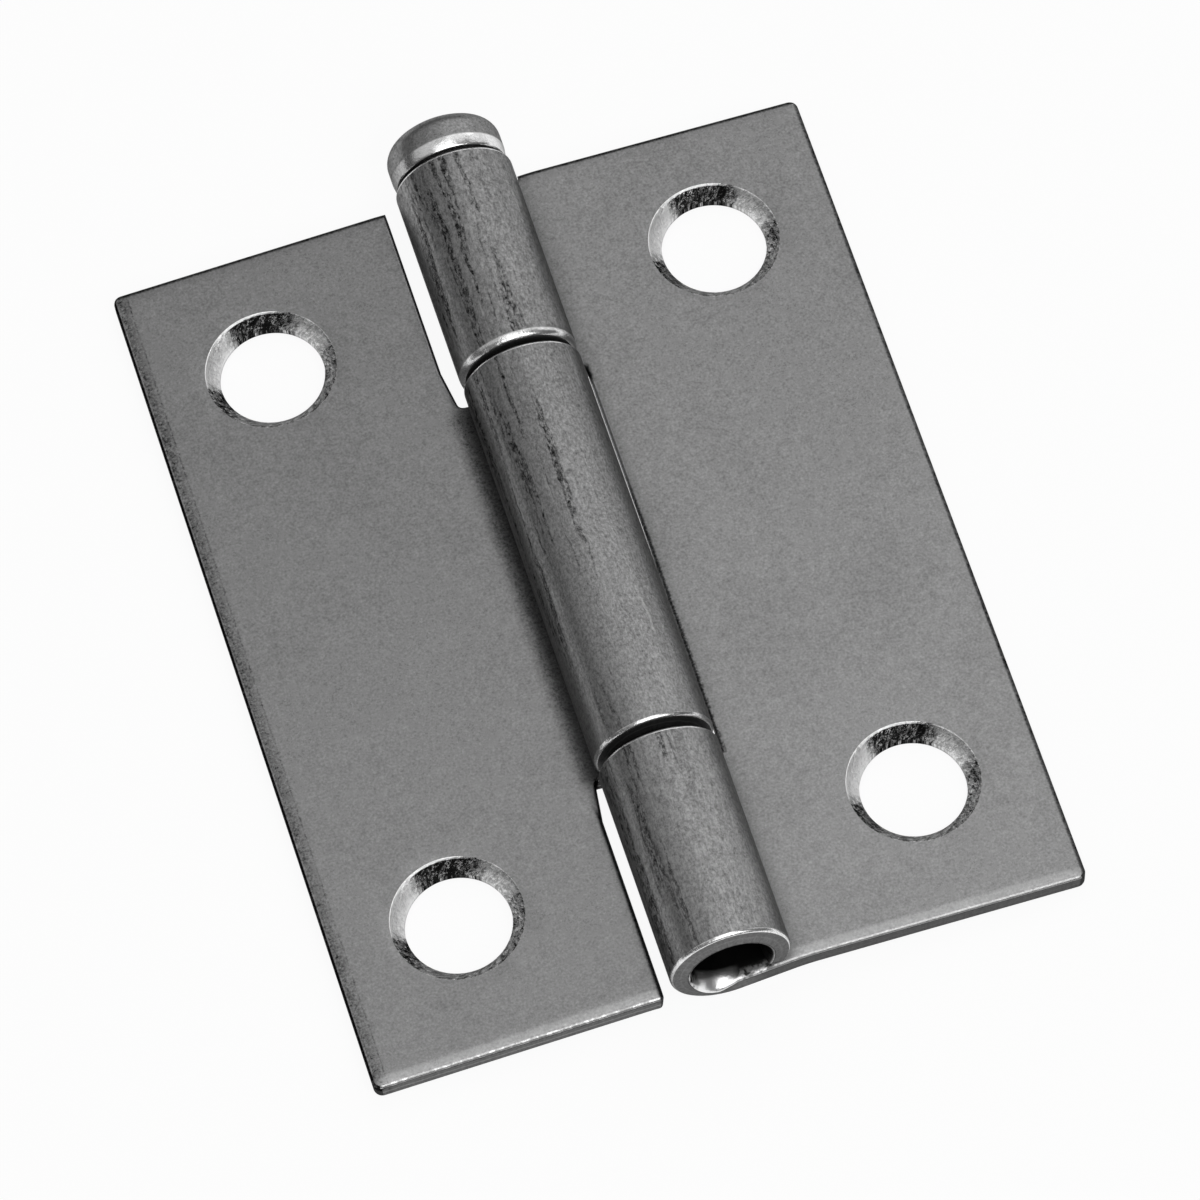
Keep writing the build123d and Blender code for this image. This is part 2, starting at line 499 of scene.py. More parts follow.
# %% [markdown]
# ## Screw holes
# A square is taken out of the sheet, its sides are divided as finely as the circle, and
# `bridge_loops` joins the two by a ring of quads. It tells which way round the loops run from the line
# between their middles, so the circle is made above the sheet and set down afterwards. The countersink
# comes once the sheet has its thickness: the top ring is opened out.

# %% Punching the holes
hole_from_pin = 12.8
ring_steps = 96
patch = 4.6
hole_across = leaf_reach - hole_from_pin
hole_lines = [holes_middle - hole_spacing / 2, holes_middle + hole_spacing / 2]


def punch_hole(bm, line):
    """Takes a square out of the blank and bridges it to a circle."""
    for offset in (-patch, patch):
        main = faces_within(bm, (0, line - half_length), (inner_start, line + half_length))
        cut_faces(bm, main, across, hole_across + offset)
        main = faces_within(bm, (0, -half_length), (inner_start, half_length))
        cut_faces(bm, main, along, line + offset)
    low = (hole_across - patch, line - patch)
    high = (hole_across + patch, line + patch)
    square = faces_within(bm, low, high)
    sides = list({edge for face in square for edge in face.edges})
    bmesh.ops.delete(bm, geom=square, context="FACES_ONLY")
    cuts = ring_steps // 4 - 1
    sides = bmesh.ops.subdivide_edges(bm, edges=sides, cuts=cuts)["geom_inner"] + sides
    rim = square_rim(bm, line)
    above = Matrix.Translation((hole_across, line, hole_radius))
    circle = bmesh.ops.create_circle(bm, segments=ring_steps, radius=hole_radius, matrix=above)["verts"]
    ring = list({edge for vert in circle for edge in vert.link_edges})
    bmesh.ops.bridge_loops(bm, edges=rim + ring)
    bmesh.ops.translate(bm, vec=(0, 0, -half_sheet - hole_radius), verts=circle)


def square_rim(bm, line):
    """The open edges round the square that was taken out."""
    def near(edge):
        middle = (edge.verts[0].co + edge.verts[1].co) / 2
        return max(abs(middle.x - hole_across), abs(middle.y - line)) < patch + 0.01
    return [edge for edge in bm.edges if edge.is_boundary and near(edge)]


print("holes", round(hole_across, 2), "mm from the outer edge, at", [round(line, 2) for line in hole_lines])

# %% [markdown]
# ## Thickness, countersinks and rounded edges
# `extrude_face_region` gives the blank its thickness. A press leaves a small round along the sheet's
# edges, which catches the light all along the outline, so it is a real bevel. The countersink is an 82
# degree cone, so its depth follows from the two radii.

# %% Thickness
countersink_radius = 3.6
countersink_angle = math.radians(82)
countersink_depth = (countersink_radius - hole_radius) / math.tan(countersink_angle / 2)
beside_hole = hole_radius + 0.1
beside_sink = countersink_radius + 0.1
clear_of_sink = countersink_radius + 0.5
same_level = 1e-4


def hole_reach(point):
    """How far a point lies from the middle of the nearer screw hole."""
    return min((point.xy - Vector((hole_across, line))).length for line in hole_lines)


def thicken(bm):
    """Turns the flat outline into a closed sheet with its holes countersunk on the front."""
    faces = bmesh.ops.extrude_face_region(bm, geom=bm.faces[:], use_keep_orig=True)["geom"]
    raised = [v for v in faces if isinstance(v, bmesh.types.BMVert)]
    bmesh.ops.translate(bm, vec=(0, 0, sheet), verts=raised)
    bmesh.ops.recalc_face_normals(bm, faces=bm.faces)
    upright = [f for f in bm.faces if abs(f.normal.z) < 0.1]
    walls = [f for f in upright if hole_reach(f.calc_center_median()) < beside_hole]
    cut_faces(bm, walls, upward, half_sheet - countersink_depth)
    widen = countersink_radius / hole_radius
    for line in hole_lines:
        centre = Vector((hole_across, line))
        top = [
            v for v in bm.verts
            if v.co.z > half_sheet - same_level and (v.co.xy - centre).length < beside_hole
        ]
        space = Matrix.Translation((-hole_across, -line, 0))
        bmesh.ops.scale(bm, vec=(widen, widen, 1), space=space, verts=top)


print("countersinks go", round(countersink_depth, 2), "mm into the", sheet, "mm sheet")

# %% Rounded edges
corner_round = 0.5
notch_round = 0.25
hole_round = 0.05
wall_lines = (-0.18, 0.02, 0.22)
any_corner, square_corner = 0.3, 0.8
sink_rim, square_rim_angle = 0.5, 1


def edges_where(bm, test):
    """The edges whose two ends both pass a test."""
    return [edge for edge in bm.edges if all(test(vert.co) for vert in edge.verts)]


def sharper(edges, angle):
    """The edges where two faces meet at more than an angle."""
    return [edge for edge in edges if edge.calc_face_angle(0) > angle]


def round_edges(bm, edges, size, steps):
    """Rounds edges with the bevel that the editor would make."""
    bmesh.ops.bevel(
        bm, geom=edges, offset=size, offset_type="OFFSET", segments=steps, profile=0.5,
        affect="EDGES", clamp_overlap=False, material=-1,
    )


def upright_corners(bm):
    """The corners of the outline in plan, as the short edges through the sheet."""
    bm.normal_update()
    upright = [e for e in bm.edges if abs((e.verts[0].co - e.verts[1].co).normalized().z) > 0.99]
    return sharper([e for e in upright if hole_reach(e.verts[0].co) > clear_of_sink], any_corner)


def soften_sheared_edges(bm, sharp_step):
    """Rounds the blank's corners, then its front and back outlines and the rims of its holes."""
    outer = [e for e in upright_corners(bm) if e.verts[0].co.x < hole_across]
    round_edges(bm, outer, corner_round, 8)
    inner = [e for e in sharper(upright_corners(bm), square_corner) if e.verts[0].co.x > hole_across]
    round_edges(bm, [e for e in inner if e.verts[0].co.y < sharp_step], notch_round, 5)
    bm.normal_update()
    for level, size, steps in ((half_sheet, front_round, 4), (-half_sheet, back_round, 4)):
        rim = edges_where(bm, lambda p: abs(p.z - level) < same_level and hole_reach(p) > clear_of_sink)
        round_edges(bm, sharper(rim, square_rim_angle), size, steps)
        rim = edges_where(bm, lambda p: abs(p.z - level) < same_level and hole_reach(p) < beside_sink)
        round_edges(bm, sharper(rim, sink_rim), hole_round, 3)


# A faint painted highlight on the flat leaf's rims, and how far a face turns from the lamps before it gets
# painted shade.
faint_rim_highlight = 0.25
turned_aside = 0.25


def mark_edge_faces(bm, side):
    """Keeps in attributes which faces are sheared, which rims get a painted highlight, and which faces,
    turned away from the lamps, get painted shade.
    """
    bm.normal_update()
    sheared = bm.faces.layers.float.new("sheared")
    rubbed = bm.faces.layers.float.new("rubbed")
    darkened = bm.faces.layers.float.new("darkened")
    for face in bm.faces:
        normal = face.normal
        if abs(normal.z) > 0.995 or hole_reach(face.calc_center_median()) < clear_of_sink:
            continue
        to_right = -side * normal.x
        on_tongue = face.calc_center_median().x > roll_begin
        # Faces turned away from the lamps get painted shade.
        dark = max(normal.y, to_right) > turned_aside or (to_right < -turned_aside and side < 0)
        face[sheared] = 1.0 if abs(normal.z) < 0.4 else 0.0
        face[darkened] = 1.0 if dark and not (on_tongue and normal.z > 0) else 0.0
        # A rim that faces the lamps gets a painted highlight: full on the knuckles, faint on the flat leaf.
        bright = faint_rim_highlight
        if on_tongue:
            bright = 1.0 if normal.z < 0 else 0.0
        face[rubbed] = 0.0 if dark or abs(normal.z) < 0.3 else bright


print("front edges are rounded by", front_round, "mm and back edges by", back_round, "mm")

# %% [markdown]
# ## Rolling the tongues
# A face only bends where it has points, so the blank is first cut across every few degrees of the
# roll, and along near the knuckles' ends. Each point keeps its flat place in an attribute called
# `blank`, which the materials read, so that marks and wear follow the sheet round the knuckle.

# %% From blank to leaf
roll_step = math.radians(4)
end_lines = (0.3, 0.42, 0.6, 1.0)
cad_back_bevel = 0.2
roll_over_lines = (0.3, 0.5, 0.75, 1.0)
roll_over_reach = 1.0
roll_over_drop = 0.11
foot_out = leaf_reach - cad_back_bevel
back_below_axis = face_below_axis + sheet
foot_away = math.hypot(foot_out, back_below_axis)
droop = math.asin(knuckle_radius / foot_away) - math.atan2(back_below_axis, foot_out)


def cut_for_bending(bm, ends):
    """Cuts the inner part of the blank into strips that can follow the bend, the roll and the ends."""
    steps = math.ceil(roll_turn / roll_step)
    lines = [roll_begin + roll_length * i / steps for i in range(steps)]
    lines += [flat_length + bend_length * i / 4 for i in range(5)]
    for line in lines:
        cut_faces(bm, inner_faces(bm), across, line)
    for level in wall_lines:
        cut_faces(bm, inner_faces(bm), upward, level)
    for end, way, *_ in ends:
        for behind in end_lines:
            tongue = faces_within(bm, (roll_begin, -leaf_length), (2 * blank_length, leaf_length))
            cut_faces(bm, tongue, along, end - way * behind)


def roll_up(bm, ends):
    """Keeps each point's flat place, then sends the point to its place on the finished leaf."""
    blank_place = bm.verts.layers.float_vector.new("blank")
    for vert in bm.verts:
        vert[blank_place] = vert.co.copy()
        if vert.co.x > roll_begin:
            vert.co = rolled_place(*vert.co, ends)
        else:
            out, up = bent_place(vert.co.x, vert.co.z)
            vert.co = (out, vert.co.y, up)


def finish_piece(bm, name, place):
    """Puts a mesh in its place in metres, cleans it, and gives the object its smooth shading."""
    bmesh.ops.transform(bm, matrix=Matrix.Scale(mm, 4) @ place, verts=bm.verts)
    bmesh.ops.remove_doubles(bm, verts=bm.verts, dist=1e-7)
    bmesh.ops.recalc_face_normals(bm, faces=bm.faces)
    mesh = mesh_from(bm, name)
    mesh.shade_smooth()
    piece = add_object(name, mesh)
    weighted = piece.modifiers.new("even shading", "WEIGHTED_NORMAL")
    weighted.weight = 100
    triangles = sum(len(face.vertices) - 2 for face in mesh.polygons)
    print(name, len(mesh.vertices), "points,", triangles, "triangles")
    return piece


def make_leaf(name, notches, ends, side):
    """One leaf, from its notches and its knuckles' ends. Side is 1 right of the pin, -1 left of it."""
    bm = notched_blank(notches)
    for line in hole_lines:
        punch_hole(bm, line)
    thicken(bm)
    soften_sheared_edges(bm, head_seat - 0.1)
    mark_edge_faces(bm, side)
    roll_over(bm)
    cut_for_bending(bm, ends)
    roll_up(bm, ends)
    to_side = Matrix.Scale(side, 4, across)
    lean = Matrix.Rotation(side * droop, 4, "Y")
    lift = Matrix.Translation((0, leaf_middle, axis_height))
    return finish_piece(bm, name, lift @ lean @ to_side)


def roll_over(bm):
    """Draws the front down towards the outline, as the sheet gives way before the punch cuts it."""
    for depth in roll_over_lines:
        cut_faces(bm, bm.faces[:], across, depth)
        for line in (depth - half_length, half_length - depth):
            cut_faces(bm, bm.faces[:], along, line)
    for vert in bm.verts:
        depth = min(vert.co.x, half_length - abs(vert.co.y))
        share = max(vert.co.z / half_sheet, 0.0)
        if depth < roll_over_reach:
            vert.co.z -= share * roll_over_drop * (1 - depth / roll_over_reach) ** 2


print("each leaf leans down", round(math.degrees(droop), 2), "degrees")

# %% The two leaves
middle_knuckle_length = 24.2
middle_knuckle_shift = 0.18
knuckle_gap = 0.58
upper_gap = 0.35
tongue_start = middle_knuckle_shift - middle_knuckle_length / 2
tongue_end = middle_knuckle_shift + middle_knuckle_length / 2
head_seat = half_length - end_swell
middle_notch_out = knuckle_radius + 0.4
head_notch_out = knuckle_radius + 0.75
open_notch_out = knuckle_radius + 0.5
root_taper = (0.3, 2.4)
middle_notch_slant = (0.1, 15.0)
swelled, unswelled = 1.0, 0.0

end_leaf = make_leaf(
    "end_leaf_sheet",
    [
        (tongue_start - knuckle_gap, tongue_end + upper_gap, middle_notch_out, middle_notch_slant),
        (head_seat, half_length, middle_notch_out, None),
    ],
    [
        (-half_length, -1, swelled, 0.0),
        (tongue_start - knuckle_gap, 1, swelled, 0.0),
        (tongue_end + upper_gap, -1, unswelled, 0.14),
        (head_seat, 1, swelled, 0.0),
    ],
    1,
)
middle_leaf = make_leaf(
    "middle_leaf_sheet",
    [
        (-half_length, tongue_start, open_notch_out, root_taper),
        (tongue_end, half_length, head_notch_out, root_taper),
    ],
    [(tongue_start, -1, swelled, 0.03), (tongue_end, 1, swelled, 0.0)],
    -1,
)

# %% [markdown]
# ## The pin
# The pin's outline is drawn once, its corners are rounded, and `spin` carries it round the axis. Under
# its round shoulder the head is drawn in a little, where the heading die pressed the wire.

# %% Turning the pin
shank_radius = 2.1
tip_chamfer = 0.5
head_round = 0.9
head_crown = 0.15
head_undercut = 0.1
head_undercut_height = 0.72
seat_round = 0.12
turning_steps = 96
pin_seat = leaf_middle + leaf_length / 2


def turned_pin():
    """The headed pin, spun from its outline."""
    end = pin_high.y - hair
    tip = pin_low.y + hair
    outline = [
        (0, tip),
        (shank_radius, tip),
        (shank_radius, pin_seat),
        (head_radius - head_undercut, pin_seat),
        (head_radius, pin_seat + head_undercut_height),
        (head_radius, end - head_crown),
        (0, end),
    ]
    bm = bmesh.new()
    verts = [bm.verts.new((radius, y, 0)) for radius, y in outline]
    for first, second in zip(verts, verts[1:]):
        bm.edges.new((first, second))
    for corner, size, steps in ((1, tip_chamfer, 1), (3, seat_round, 3), (5, head_round, 10)):
        bmesh.ops.bevel(
            bm, geom=[verts[corner]], offset=size, segments=steps, profile=0.5,
            affect="VERTICES", material=-1,
        )
    bmesh.ops.spin(
        bm, geom=bm.verts[:] + bm.edges[:], axis=along, cent=(0, 0, 0),
        angle=2 * math.pi, steps=turning_steps, use_merge=True,
    )
    bmesh.ops.remove_doubles(bm, verts=bm.verts, dist=1e-4)
    return finish_piece(bm, "pin_body", Matrix.Translation((0, 0, axis_height)))


pin = turned_pin()

# %% [markdown]
# ## Steel
# Close to, the satin grey of plated sheet is uneven. Each kind of mark on it is a node group, so that
# several pieces can share it. A group is made from a function that is given the group's inputs and
# gives back its outputs by name.

# %% Groups and noise
def make_group(name, inputs, work):
    """A node group. An input has its default number, or None where it is a place."""
    tree = bpy.data.node_groups.new(name, "ShaderNodeTree")
    for socket, value in inputs.items():
        kind = "NodeSocketVector" if value is None else "NodeSocketFloat"
        made = tree.interface.new_socket(socket, in_out="INPUT", socket_type=kind)
        if value is not None:
            made.default_value = value
    results = work(outputs_of(tree.nodes.new("NodeGroupInput")))
    for socket in results:
        tree.interface.new_socket(socket, in_out="OUTPUT", socket_type="NodeSocketFloat")
    add_node(tree, "NodeGroupOutput", results)
    print("group", name, "with", len(tree.nodes), "nodes gives", ", ".join(results))
    return tree


def use_group(tree, group, **sockets):
    """A group's outputs for what goes into it."""
    return add_node(tree, "ShaderNodeGroup", sockets, node_tree=group)


def split(place):
    """The three numbers of a place."""
    return add_node(place.tree, "ShaderNodeSeparateXYZ", {0: place}).values()


def combine(tree, **numbers):
    """A place from its numbers."""
    return add_node(tree, "ShaderNodeCombineXYZ", numbers)["Vector"]


def stretch(place, scale, shift=(0, 0, 0)):
    """The same place, squeezed or drawn out along each axis."""
    sockets = {"Vector": place, "Scale": scale, "Location": shift}
    return add_node(place.tree, "ShaderNodeMapping", sockets)["Vector"]


def noise(place, scale, detail=3.0, roughness=0.6):
    """A cloud of values round a half, at so many lumps to a millimetre."""
    sockets = {"Vector": place, "Scale": scale, "Detail": detail, "Roughness": roughness}
    return add_node(place.tree, "ShaderNodeTexNoise", sockets, noise_dimensions="3D")["Fac"]


def weigh(*parts):
    """The sum of values that lie about a half, each times its weight, so that it is about zero."""
    return sum((value - 0.5) * weight for value, weight in parts)


def add_up(values, weights):
    """The sum of the named values, each times its weight."""
    return sum(values[name] * weight for name, weight in weights.items())


def blend(mask, low, high):
    """The low value where the mask is nought, the high one where it is one."""
    return add_node(mask.tree, "ShaderNodeMix", {"Factor": mask, "A": low, "B": high})["Result"]


print("group helpers are ready")

# %% [markdown]
# ## Mottled plating
# Zinc plating on rolled sheet is never an even grey. Three noises copy it: specks a seventh of a
# millimetre wide, patches of half a millimetre, and clouds of seven millimetres. Where all three are
# high the sheet was handled, and is a shade darker.

# %% Mottled plating
speck_scale = 7.0
patch_scale = 2.4
cloud_scale = 0.14
handled_shade = 0.45


def mottle(given):
    """Fine specks, small patches and wide clouds, about zero, and the height of the skin."""
    specks = noise(given["Place"], speck_scale, 2.0, 0.7)
    patches = noise(given["Place"], patch_scale)
    clouds = noise(given["Place"], cloud_scale)
    handled = fade(clouds, 0.52, 0.6) * fade(patches, 0.5, 0.6) * fade(specks, 0.46, 0.6)
    return {
        "Tone": weigh((specks, 1.0), (patches, 0.46), (clouds, 0.36)) - handled * handled_shade,
        "Height": weigh((specks, 1.4), (patches, 1.0)),
    }


mottled_plating = make_group("mottled_plating", {"Place": None}, mottle)

# %% [markdown]
# ## Marks along the knuckles
# When a tongue is curled, the die leaves marks along it: a few dark broken scores, lighter rubs, and a
# fine grain. Noise that is stretched along the pin gives such marks, and a slow sideways wander keeps
# them from being ruler-straight.

# %% Marks along the knuckles
wander_along = 0.3
wander_width = 0.5


def streaks(given):
    """Long marks that run along the pin: dark scores, light rubs, a soft banding and a grain."""
    tree = given["Place"].tree
    wander = noise(stretch(given["Place"], (0.0, wander_along, 0.0)), 1.0, 2.0)
    shift = combine(tree, X=(wander - 0.5) * wander_width)
    wandering = {0: given["Place"], 1: shift}
    place = add_node(tree, "ShaderNodeVectorMath", wandering, operation="ADD")["Vector"]

    def long_noise(around, down, apart=(0, 0, 0), detail=3.0, roughness=0.6):
        """Noise with so many lumps to a millimetre round the knuckle, and so many down along it."""
        return noise(stretch(place, (around, down, around), apart), 1.0, detail, roughness)

    band = long_noise(1.1, 0.05)
    line = long_noise(1.9, 0.06, detail=2.0)
    breaks = long_noise(8.0, 2.2, (5, 3, 0), roughness=0.8)
    rub = long_noise(3.4, 0.12, (2, 9, 4))
    grain = long_noise(8.5, 3.0, (1, 6, 2), roughness=0.85)
    return {
        "Score": fade(line, 0.52, 0.6) * fade(breaks, 0.4, 0.54),
        "Rub": fade(rub, 0.6, 0.75),
        "Band": band - 0.5,
        "Grain": grain - 0.5,
    }


rolling_marks = make_group("rolling_marks", {"Place": None}, streaks)

# %% [markdown]
# ## Screw holes, as a material sees them
# The marks in a countersink run round the hole, so the material needs to know how far a point lies
# from the hole's middle, and which way round. Both are worked out from the flat blank, so one group
# serves both holes of both leaves.

# %% Where a point lies round a screw hole
def round_a_hole(given):
    """How far a point is from the nearer hole's middle, and which way round it lies, in turns."""
    x, y, _ = split(given["Place"])
    out = (hole_across - x) * given["Side"]
    from_middle = y - holes_middle
    up = from_middle - calculate("SIGN", from_middle) * (hole_spacing / 2)
    return {
        "Reach": calculate("SQRT", out * out + up * up),
        "Turn": calculate("DIVIDE", calculate("ARCTAN2", up, out), 2 * math.pi),
    }


hole_place = make_group("hole_place", {"Place": None, "Side": 1.0}, round_a_hole)

# %% [markdown]
# ## Chatter of the countersink, and its painted sheen
# A countersink cutter in thin sheet judders and leaves short slanting ridges with bright flecks. The
# group also paints a fan of highlight on one side of the cone and shade on others, for how the turned
# cone mirrors the lamps, and a painted highlight along part of the rim where the cone meets the face.

# %% Chatter of the countersink, and its painted sheen
ridge_slant = 0.035
ridges_round = (90.0, 4.0, 1.0)
flecks_round = (120.0, 7.0, 1.0)


def chatter_and_painted_sheen(given):
    """The ridges of a juddering cutter, their flecks, a painted fan of highlight and shade, and a painted
    highlight on the rim.
    """
    reach, turn = given["Reach"], given["Turn"]
    place = combine(reach.tree, X=turn + reach * ridge_slant, Y=reach, Z=given["Seed"])
    ridge = noise(stretch(place, ridges_round), 1.0, 4.0, 0.85)
    fleck = noise(stretch(place, flecks_round), 1.0, 3.0, 0.85)

    def arc(middle, width):
        """A soft window of the turn round its middle, both in degrees."""
        away = turn * (2 * math.pi) - math.radians(middle)
        near, far = math.cos(math.radians(width / 2)), math.cos(math.radians(width))
        return fade(calculate("COSINE", away), far, near)

    # Painted highlight and shade by the way round the cone, for how the turned cone mirrors the lamps.
    lit = arc(148, 38) + arc(28, 26) * 0.5
    dark = arc(200, 24) * 0.25 + arc(90, 40) * 0.4
    return {
        "Ridge": fade(ridge, 0.36, 0.64),
        "Fleck": fade(fleck, 0.54, 0.64),
        "Fan": lit - dark,
        # A painted highlight on part of the rim.
        "Rim": fade(reach, countersink_radius - 0.1, countersink_radius - 0.05) * arc(118, 62),
    }


countersink_chatter = make_group(
    "countersink_chatter", {"Reach": 3.0, "Turn": 0.0, "Seed": 0.0}, chatter_and_painted_sheen
)

# %% [markdown]
# ## Sheared edges
# The punch first slides down the sheet and leaves a burnished band, and then the metal tears and
# leaves a rough one. Their border wavers a little. The group reads how deep a point lies in the sheet,
# and adds the punch's fine drag marks.

# %% Shearing marks on the cut edges
waver_depth = 0.16
border_depth = (-0.12, -0.04, -0.04, 0.04)
under_rim_shade_depth = (0.3, 0.36, 0.36, 0.42)


def sheared_wall(given):
    """The bands of a sheared wall: smooth where the punch slid, rough where the sheet broke off, and a
    painted shade line under the front rim.
    """
    place = given["Place"]
    _, _, z = split(place)
    depth = z + (noise(place, 1.2) - 0.5) * waver_depth
    grain = noise(place, 9.0, 3.0, 0.7)
    drag = noise(stretch(place, (7.0, 7.0, 0.5)), 1.0, 2.0)
    tone = weigh((grain, 1.3), (drag, 0.5)) + between(depth, *border_depth) * given["Border"]
    # A painted shade line just under the front rim, where the rounding turns from the light.
    return {
        "Tone": tone - between(depth, *under_rim_shade_depth) * 0.5,
        "Height": weigh((grain, 1.5), (drag, 1.5)),
    }


sheared_edge = make_group("sheared_edge", {"Place": None, "Border": 0.5}, sheared_wall)

# %% [markdown]
# ## The metal itself
# All three pieces share one kind of metal, a grey that goes up and down with the marks, whose height
# feeds a Bump node. The specular tint is lowered, because a grazing edge on a white table would
# otherwise glow in a way that the dull plating doesn't.

# %% A finish from its values
darkest, brightest = 0.01, 0.95
edge_tint = (0.35, 0.35, 0.35, 1)
skin_depth = 0.02 * mm
skin_strength = 0.3


def steel_finish(base, tone, roughness, height):
    """Metal whose colour is the base grey times one plus the tone."""
    level = calculate("MINIMUM", most((tone + 1.0) * base, darkest), brightest)
    tree = tone.tree
    grey = add_node(tree, "ShaderNodeCombineColor", {"Red": level, "Green": level, "Blue": level})["Color"]
    skin = {"Height": height, "Strength": skin_strength, "Distance": skin_depth}
    shader = add_node(tree, "ShaderNodeBsdfPrincipled", {
        "Base Color": grey, "Metallic": 1.0, "Roughness": roughness, "Specular Tint": edge_tint,
        "Normal": add_node(tree, "ShaderNodeBump", skin)["Normal"],
    })
    add_node(tree, "ShaderNodeOutputMaterial", {"Surface": shader["BSDF"]})


print("grey levels are kept between", darkest, "and", brightest)

# %% [markdown]
# ## Where the leaves differ from plain sheet
# Every mask below reads the flat blank, in millimetres: x across from the outer edge, y along the pin
# and z through the sheet. So the roll starts at one x, the bore is the side with high z, and the
# knuckles' ends are values of y. A tone is how much brighter or darker than the base grey a spot is.

# %% The rolled face
scored_half_width = (2.8, 1.7)
mark_weights = {"Band": 0.5, "Grain": 2.3, "Score": -0.65, "Rub": 0.4}


def rolled_face(x, y, marks, skin, scored):
    """Tone and height of the front, with rolling marks round the middle of the scored stretch."""
    rolled = fade(x, roll_begin - 1, roll_begin + 1)
    score = marks["Score"] * fade(abs(x - scored), *scored_half_width, 0.15, 1.0)
    tone = skin["Tone"] + add_up({**marks, "Score": score}, mark_weights) * rolled
    return tone + fade(y, 22.0, -20.0, -0.06, 0.12), skin["Height"] - score * rolled


print("the face weighs its marks by", mark_weights)

# %% The mouth of the bore
low_mouth = roll_begin + roll_radius * (start_angle - low_side)
lip_break = (0.38, 0.56)


def painted_mouth_highlight(x, z, from_end, place):
    """A painted highlight low in the open mouth, where the bore's lower wall catches the light, and a
    broken painted highlight along the lip beside it.
    """
    from_low = abs(x - low_mouth)
    patch = fade(from_end, 1.0, 0.7) * fade(from_low, 1.9, 1.1)
    band = fade(from_end, 0.7, 0.4) * fade(from_low, 4.2, 3.2, 0.0, 0.7)
    return most(patch, band * fade(noise(place, 2.5), *lip_break)) * fade(z, 0.25, 0.4)


# The bright patch low in the mouth is a painted highlight.
print("the mouth is worn round", round(low_mouth, 1), "mm of the blank")

# %% The countersinks
chatter_and_sheen_weights = {"Ridge": 1.9, "Fleck": 2.2, "Fan": 2.6, "Rim": 4.0}
cone_shade = 0.2 + chatter_and_sheen_weights["Ridge"] / 2
cone_height = 4.0


def countersink(hole, chatter_and_sheen, z):
    """Where the cone is, its tone and its height."""
    inside = fade(hole["Reach"], countersink_radius + 0.05, countersink_radius + 0.02)
    inside = inside * fade(z, 0.03 - half_sheet, 0.1 - half_sheet)
    return inside, add_up(chatter_and_sheen, chatter_and_sheen_weights) - cone_shade, chatter_and_sheen["Ridge"] * cone_height


print("a countersink weighs its marks by", chatter_and_sheen_weights)

# %% Painted highlights on the rims
lower_knuckle_rim = (roll_begin + 4.6, roll_begin + 6.6)
# How strong the painted glint along the low end is on each leaf.
glint_levels = {-1: 0.6, 1: 0.2}
behind_barrel_lines = (-12.6, -12.4, 3.0, 6.0)
upper_knuckle_end = tongue_end + upper_gap


def painted_rim_highlights(rubbed, x, y, z, from_end, place, side):
    """Painted highlights on the rims that face the lamps, with a broken painted glint along the leaf's low
    end.
    """
    upper_arc = fade(x, *lower_knuckle_rim, 0.12, 1.0)
    rubbed = rubbed * blend(fade(from_end, 1.0, 0.8), 1.0, upper_arc)
    glint = fade(from_end, 0.2, 0.12) * fade(z, 0.28, 0.36) * fade(x, roll_begin, roll_begin - 1.0)
    glint = glint * fade(noise(place, 3.0), 0.48, 0.62, 0.12, glint_levels[side])
    rubbed = most(rubbed, glint)
    if side < 0:
        return rubbed
    # A painted highlight on the upper knuckle's lower rim, where it catches the overhead light.
    painted_bright = between(y, 12.0, 12.2, upper_knuckle_end + 0.38, upper_knuckle_end + 0.5)
    painted_bright = painted_bright * fade(z, -0.25, -0.35) * fade(x, roll_begin, roll_begin + 0.5)
    return most(rubbed * (1.0 - between(y, *behind_barrel_lines)), painted_bright)


print("the upper knuckle's lower rim is polished at", round(upper_knuckle_end, 2), "mm")

# %% Dark lines along the edges
notch_edge = distance_on_blank(middle_notch_out)
open_notch_edge = distance_on_blank(open_notch_out)
beside_notch = (notch_edge - 0.24, notch_edge - 0.14, notch_edge + 0.2, notch_edge + 0.3)
corner_across = (notch_edge - 0.28, notch_edge - 0.14, notch_edge + 0.3, notch_edge + 0.5)
corner_along = (11.4, 11.9, 12.4, 12.9)


def dark_edges(x, y, z, tone, side):
    """Painted shade: dark lines where a rim turns away from every lamp, and a painted shadow in the gap at
    the notch's corner, on the front of the sheet.
    """
    line = fade(y, half_length - 0.34, half_length - 0.2)
    if side > 0:
        notch_rim = between(x, *beside_notch) * between(y, *behind_barrel_lines)
        notch_rim = notch_rim * fade(tone, 0.06, -0.06, 0.15, 0.7)
        # A painted shadow in the gap at the notch's corner.
        corner = between(y, *corner_along) * between(x, *corner_across)
        line = most(line, fade(x, 0.3, 0.16), notch_rim, corner)
    else:
        inner_rim = fade(x, open_notch_edge - 0.3, open_notch_edge - 0.16)
        line = most(line, inner_rim * fade(abs(y), 13.4, 14.0))
    return line * fade(z, 0.0, 0.3)


def painted_left_edge_shade(x, z, tone):
    """Painted shade along the left leaf's outer edge, where the rolled-over edge mirrors the dim room: a
    band, and a line along its inner side.
    """
    band = most(fade(x, 0.95, 0.3) * fade(z, 0.0, 0.3), between(x, 0.68, 0.78, 0.78, 0.88) * 0.8)
    return band * (0.32 - tone * 1.6)


def painted_bend_shade(x, y):
    """Painted shade in the bend beside the middle knuckle, where the barrel shades the leaf."""
    across_bend = between(x, flat_length + 0.1, flat_length + 1.0, roll_begin, roll_begin + 0.6)
    return across_bend * fade(abs(y), 12.6, 11.6)


